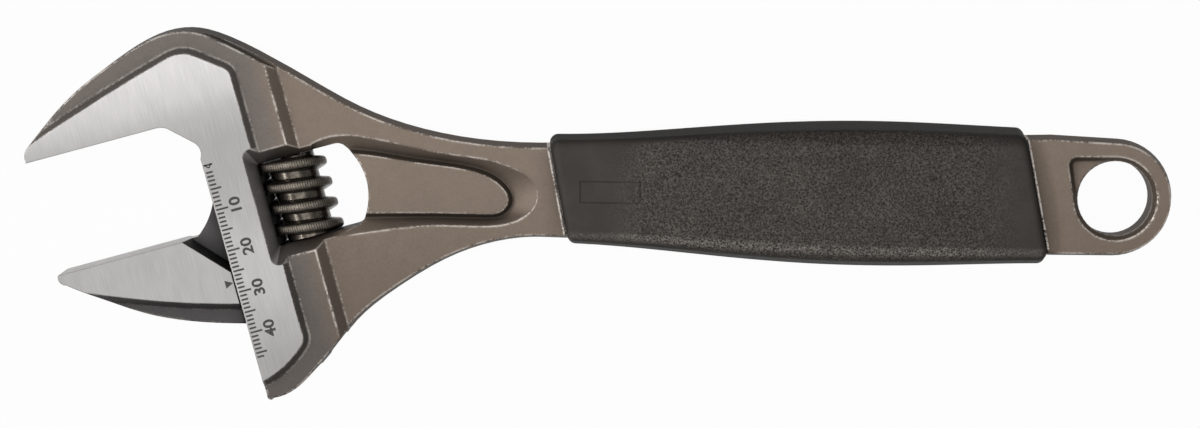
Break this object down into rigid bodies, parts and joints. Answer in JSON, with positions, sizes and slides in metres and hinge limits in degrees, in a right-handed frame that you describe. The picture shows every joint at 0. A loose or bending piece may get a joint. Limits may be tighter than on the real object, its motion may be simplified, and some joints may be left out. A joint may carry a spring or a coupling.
{
  "type": "adjustable wrench",
  "caption": "Adjustable wrench with a wide slim head, knurled worm that slides the lower jaw along a rail, millimetre scale, rubber grip and a hanging eye.",
  "frame": {"origin": "centre of the hanging eye, on the forging's mid plane", "axes": "+Z out of the face with the scale, along the eye; the handle runs along X with the head at -X; +Y on the fixed jaw's side"},
  "size_m": [0.2704, 0.0874, 0.0212],
  "materials": {
    "body": "phosphate-coated forging with ground faces",
    "sliding_jaw": "ground face over a dark coat",
    "knurl": "blackened steel",
    "knurl_pin": "plain steel",
    "knurl_spring": "spring steel",
    "grip": "matt, finely grained"
  },
  "bodies": {
    "forging": {"body": "body", "grip": "grip", "knurl_pin": "knurl_pin", "knurl_spring": "knurl_spring"},
    "jaw": {"sliding_jaw": "sliding_jaw"},
    "worm": {"knurl": "knurl"}
  },
  "joints": [
    {"name": "knurl_turn", "type": "hinge", "parent": "forging", "child": "worm", "pos_m": [-0.19216, -0.00263, 0], "axis": [0.2756, -0.9613, 0], "range_deg": [-1939.1, 1326]},
    {"name": "jaw_slide", "type": "slide", "parent": "forging", "child": "jaw", "axis": [0.2756, -0.9613, 0], "range_m": [-0.0272, 0.0186]}
  ],
  "couplings": [
    {"joint": "knurl_turn", "follows": "jaw_slide", "rad_per_m": 1244.2}
  ]
}
